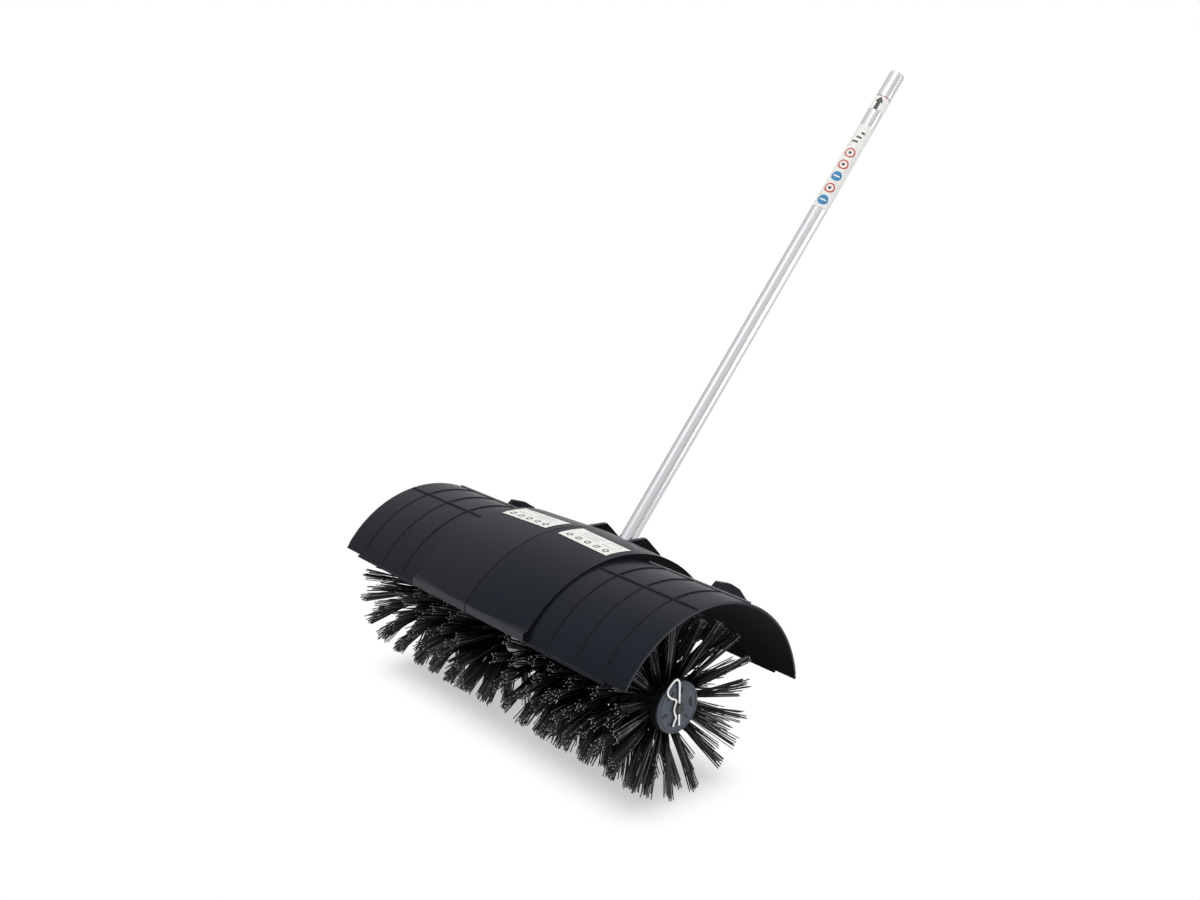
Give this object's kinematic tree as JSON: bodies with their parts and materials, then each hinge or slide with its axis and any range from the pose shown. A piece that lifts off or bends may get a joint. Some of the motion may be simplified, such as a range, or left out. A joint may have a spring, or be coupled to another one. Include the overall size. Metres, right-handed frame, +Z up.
{
  "type": "brush sweeper attachment",
  "caption": "Bristle brush sweeper head: a split brush roller under a black plastic guard, turned by a worm gearbox at the foot of a straight drive tube for a power unit.",
  "frame": {"origin": "on the ground under the middle of the part's overall box, level with the lowest bristle tips", "axes": "+X along the brush axis, +Y to the back, the way the tube leans, +Z up"},
  "size_m": [0.647, 0.8866, 0.9094],
  "materials": {
    "guard_plastic": "satin",
    "label_film": "satin",
    "tube_aluminium": "satin",
    "mark_paint": "matt",
    "bush_plastic": "satin",
    "cast_aluminium": "matt",
    "steel": "satin",
    "bright_steel": "polished",
    "bronze": "satin",
    "seal_rubber": "matt",
    "core_plastic": "satin",
    "bristle_plastic": "satin",
    "painted_steel": "satin"
  },
  "bodies": {
    "frame": {"guard_left": "guard_plastic", "guard_right": "guard_plastic", "guard_label_left": "label_film", "guard_label_right": "label_film", "guard_stay_left": "painted_steel", "guard_stay_right": "painted_steel", "stay_bolts": "steel", "tube_clamp_front": "cast_aluminium", "tube_clamp_rear": "cast_aluminium", "clamp_screws": "steel", "guard_screws": "steel", "drive_tube": "tube_aluminium", "insertion_mark": "mark_paint", "depth_label": "label_film", "tube_label": "label_film", "tip_bush": "bush_plastic", "liner_bushes": "bush_plastic", "gear_housing_left": "cast_aluminium", "gear_housing_right": "cast_aluminium", "housing_screws": "steel", "filler_plug": "steel", "output_bearing_outer_left": "steel", "output_bearing_outer_right": "steel", "output_seal_left": "seal_rubber", "output_seal_right": "seal_rubber", "worm_bearing_outer_upper": "steel", "worm_bearing_outer_lower": "steel"},
    "brush": {"output_shaft": "steel", "worm_wheel": "bronze", "wheel_key": "steel", "output_bearing_inner_left": "steel", "output_bearing_inner_right": "steel", "brush_core_left": "core_plastic", "brush_core_right": "core_plastic", "bristles_left": "bristle_plastic", "bristles_right": "bristle_plastic", "end_disc_left": "core_plastic", "end_disc_right": "core_plastic"},
    "drive": {"worm_shaft": "steel", "drive_shaft": "steel", "worm_bearing_inner_upper": "steel", "worm_bearing_inner_lower": "steel"},
    "output_balls": {"output_balls_left": "bright_steel", "output_balls_right": "bright_steel"},
    "worm_balls": {"worm_balls_upper": "bright_steel", "worm_balls_lower": "bright_steel"},
    "pin_left": {"hitch_pin_left": "bright_steel"},
    "pin_right": {"hitch_pin_right": "bright_steel"}
  },
  "joints": [
    {"name": "brush_spin", "type": "hinge", "parent": "frame", "child": "brush", "pos_m": [0, -0.31034, 0.1245], "axis": [1, 0, 0], "continuous": true},
    {"name": "drive_spin", "type": "hinge", "parent": "frame", "child": "drive", "pos_m": [0, -0.27385, 0.09255], "axis": [0, 0.6587, 0.7524], "continuous": true},
    {"name": "output_balls_spin", "type": "hinge", "parent": "frame", "child": "output_balls", "pos_m": [0, -0.31034, 0.1245], "axis": [1, 0, 0], "continuous": true},
    {"name": "worm_balls_spin", "type": "hinge", "parent": "frame", "child": "worm_balls", "pos_m": [0, -0.27385, 0.09255], "axis": [0, 0.6587, 0.7524], "continuous": true},
    {"name": "pin_left_pull", "type": "slide", "parent": "brush", "child": "pin_left", "axis": [0, 0, 1], "range_m": [0, 0.033], "deforming": ["hitch_pin_left"]},
    {"name": "pin_right_pull", "type": "slide", "parent": "brush", "child": "pin_right", "axis": [0, 0, 1], "range_m": [0, 0.033], "deforming": ["hitch_pin_right"]}
  ],
  "couplings": [
    {"joint": "drive_spin", "follows": "brush_spin", "ratio": -38},
    {"joint": "output_balls_spin", "follows": "brush_spin", "ratio": 0.40654},
    {"joint": "worm_balls_spin", "follows": "brush_spin", "ratio": -14.44}
  ]
}
